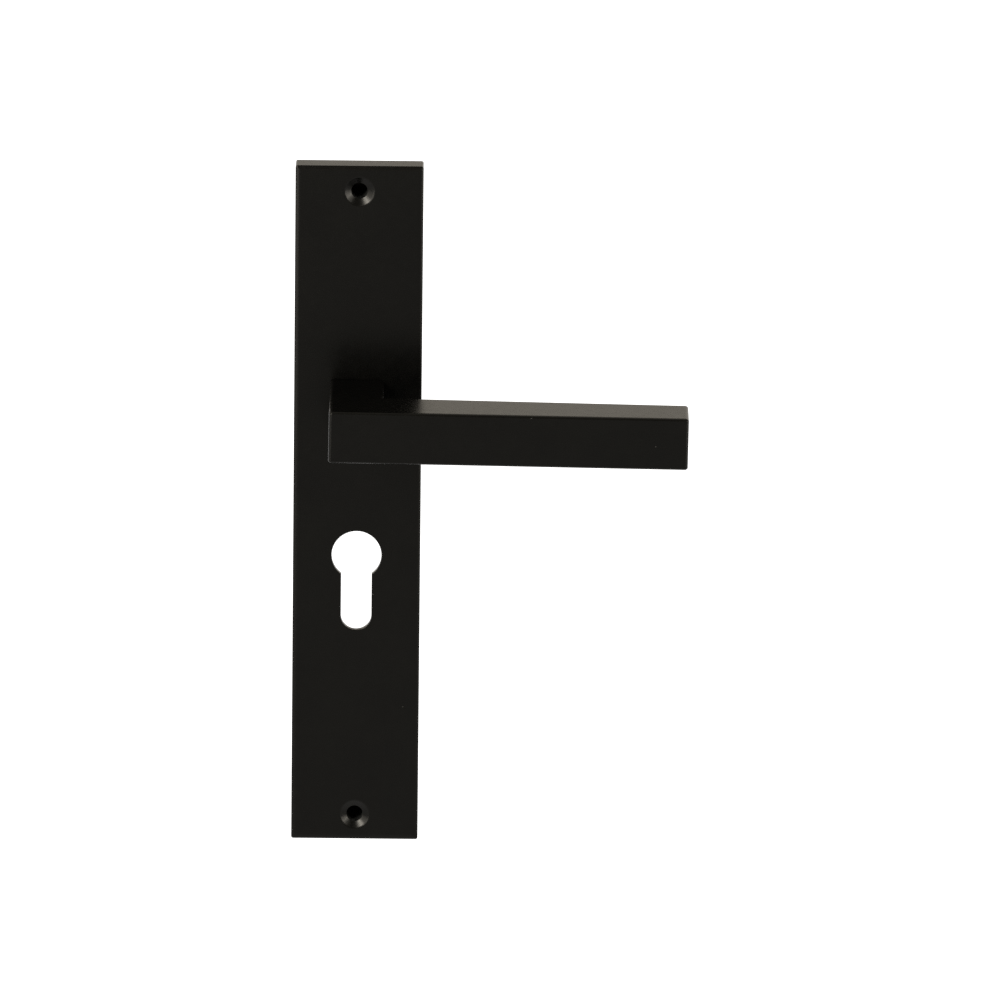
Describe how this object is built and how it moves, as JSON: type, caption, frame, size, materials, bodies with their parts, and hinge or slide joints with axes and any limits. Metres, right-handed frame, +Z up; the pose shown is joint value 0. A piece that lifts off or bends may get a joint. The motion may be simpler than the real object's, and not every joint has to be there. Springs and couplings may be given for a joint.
{
  "type": "lever handle on backplate",
  "caption": "Square-section lever handle on a long backplate with a profile-cylinder cutout, one half of a door's furniture, with return spring and spindle.",
  "frame": {"origin": "on the spindle's axis, in the plane of the door's face that the plate sits on", "axes": "+X along the lever, +Y into the door along the spindle, +Z up along the plate"},
  "size_m": [0.1386, 0.1307, 0.2462],
  "materials": {
    "black_coat": "satin black powder coat over zinc alloy",
    "zinc_plated_steel": "bright zinc plate",
    "spring_steel": "oiled spring steel",
    "nylon": "natural nylon"
  },
  "bodies": {
    "plate": {"backplate": "black_coat", "front_washer": "nylon", "bearing_bush": "nylon", "return_spring": "spring_steel", "spring_cover": "zinc_plated_steel", "cover_screw_1": "zinc_plated_steel", "cover_screw_2": "zinc_plated_steel", "cover_screw_3": "zinc_plated_steel", "cover_screw_4": "zinc_plated_steel"},
    "lever": {"lever": "black_coat", "spindle": "zinc_plated_steel", "grub_screw": "spring_steel", "cam_plate": "zinc_plated_steel", "thrust_washer": "zinc_plated_steel", "wave_washer": "spring_steel", "circlip": "spring_steel"}
  },
  "joints": [
    {"name": "lever_turn", "type": "hinge", "parent": "plate", "child": "lever", "pos_m": [0, 0, 0], "axis": [0, 1, 0], "range_deg": [0, 45], "stiffness_Nm_per_rad": 0.22, "springref_deg": -85.94, "deforming": ["return_spring"]}
  ]
}
